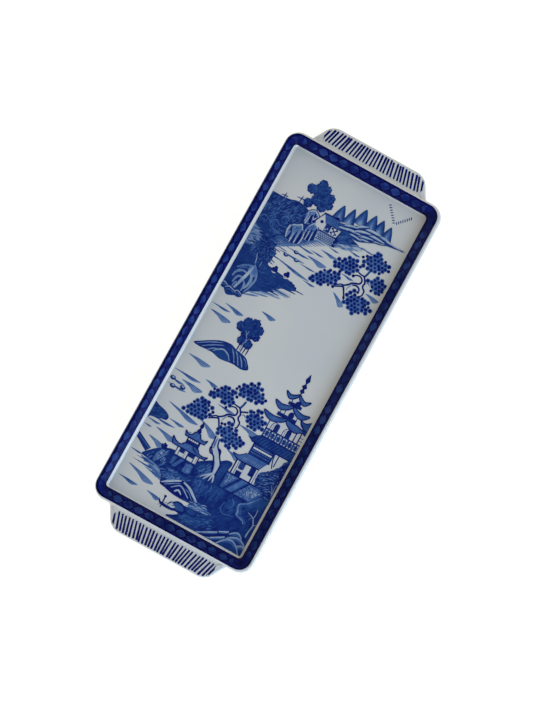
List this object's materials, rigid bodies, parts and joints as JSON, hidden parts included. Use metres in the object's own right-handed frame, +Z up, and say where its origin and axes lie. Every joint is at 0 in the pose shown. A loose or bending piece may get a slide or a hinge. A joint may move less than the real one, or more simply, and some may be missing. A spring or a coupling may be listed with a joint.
{
  "type": "sandwich tray",
  "caption": "Long rectangular porcelain serving tray with a sloping raised rim, a tab handle at each end, a foot ring and blue underglaze decoration.",
  "frame": {"origin": "on the table, under the middle of the tray", "axes": "+X along the tray towards the far handle, +Y towards the left long side seen from the near handle, +Z up"},
  "size_m": [0.353, 0.136, 0.0181],
  "materials": {
    "white_glaze": "white porcelain under a clear glossy glaze",
    "bare_clay": "matt unglazed standing face",
    "underglaze_blue": "cobalt colour under a clear glossy glaze"
  },
  "bodies": {
    "root": {"well_floor": "white_glaze", "rim_wall": "white_glaze", "handle_far": "white_glaze", "handle_near": "white_glaze", "foot_ring": "bare_clay", "border_left": "underglaze_blue", "border_right": "underglaze_blue", "border_far": "underglaze_blue", "border_near": "underglaze_blue", "border_corners": "underglaze_blue", "stripes_far": "underglaze_blue", "stripes_near": "underglaze_blue"}
  },
  "joints": []
}
